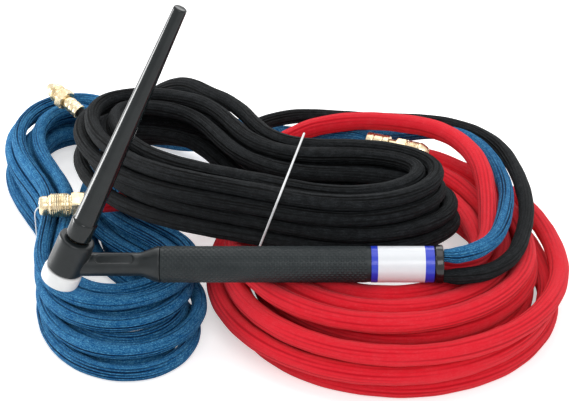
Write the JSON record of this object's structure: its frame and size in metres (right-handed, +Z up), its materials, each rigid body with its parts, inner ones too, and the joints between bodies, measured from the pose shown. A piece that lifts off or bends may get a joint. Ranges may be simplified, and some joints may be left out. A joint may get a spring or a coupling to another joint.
{
  "type": "tig torch",
  "caption": "Water-cooled TIG welding torch with rigid neck, knurled handle, long back cap and white cup gasket, lying on its red, blue and black covered hoses wound into coils.",
  "frame": {"origin": "on the bench, on the flat underside of the red coil's lowest loop, straight below the handle axis", "axes": "+X along the handle from the head to the hoses, +Z up from the bench, +Y away from the viewer towards the wound hoses"},
  "size_m": [0.3887, 0.3554, 0.2327],
  "materials": {
    "moulding": "satin black silicone rubber",
    "grip": "knurled matt black",
    "label": "white film with a blue edge at each end",
    "boot": "gloss black",
    "cap": "gloss black",
    "seal": "matt",
    "gasket": "white PTFE",
    "brass": "machined",
    "copper": "drawn copper tube",
    "bare_hose": "matt",
    "red_cover": "braided cover",
    "blue_cover": "braided cover",
    "black_cover": "braided cover",
    "tie": "white tie"
  },
  "bodies": {
    "torch": {"body_moulding": "moulding", "head_core": "brass", "cup_gasket": "gasket", "power_tube": "copper", "water_tube": "copper", "gas_tube": "copper", "power_barb": "brass", "water_barb": "brass", "gas_barb": "brass", "power_crimp": "brass", "water_crimp": "brass", "gas_crimp": "brass", "power_hose_end": "bare_hose", "water_hose_end": "bare_hose", "gas_hose_end": "bare_hose", "handle_sleeve": "grip", "label_sleeve": "label", "handle_rear_boot": "boot", "red_lead": "red_cover", "red_coil": "red_cover", "red_tail": "red_cover", "blue_lead": "blue_cover", "blue_hank": "blue_cover", "blue_tail": "blue_cover", "black_lead": "black_cover", "black_hank": "black_cover", "black_tail": "black_cover", "power_end_ferrule": "brass", "power_end_adaptor": "brass", "gas_end_ferrule": "brass", "gas_end_nipple": "brass", "water_end_ferrule": "brass", "water_end_nipple": "brass", "black_hank_tie": "tie", "blue_hank_tie": "tie"},
    "cap_seal": {"back_cap_o_ring": "seal"},
    "back_cap": {"back_cap": "cap"},
    "gas_nut": {"gas_end_nut": "brass"},
    "water_nut": {"water_end_nut": "brass"}
  },
  "joints": [
    {"name": "cap_travel", "type": "slide", "parent": "torch", "child": "cap_seal", "axis": [0.4067, 0, 0.9135], "range_m": [0, 0.00508]},
    {"name": "cap_turn", "type": "hinge", "parent": "cap_seal", "child": "back_cap", "pos_m": [-0.1184, 0, 0.0628], "axis": [0.4067, 0, 0.9135], "range_deg": [0, 1440]},
    {"name": "gas_nut_turn", "type": "hinge", "parent": "torch", "child": "gas_nut", "pos_m": [-0.1361, 0.2326, 0.0482], "axis": [-0.72, 0.6, 0.3487], "continuous": true},
    {"name": "water_nut_turn", "type": "hinge", "parent": "torch", "child": "water_nut", "pos_m": [0.0727, 0.1722, 0.0573], "axis": [0.917, -0.3989, 0], "continuous": true}
  ],
  "couplings": [
    {"joint": "cap_travel", "follows": "cap_turn", "m_per_rad": 0.00020213}
  ]
}
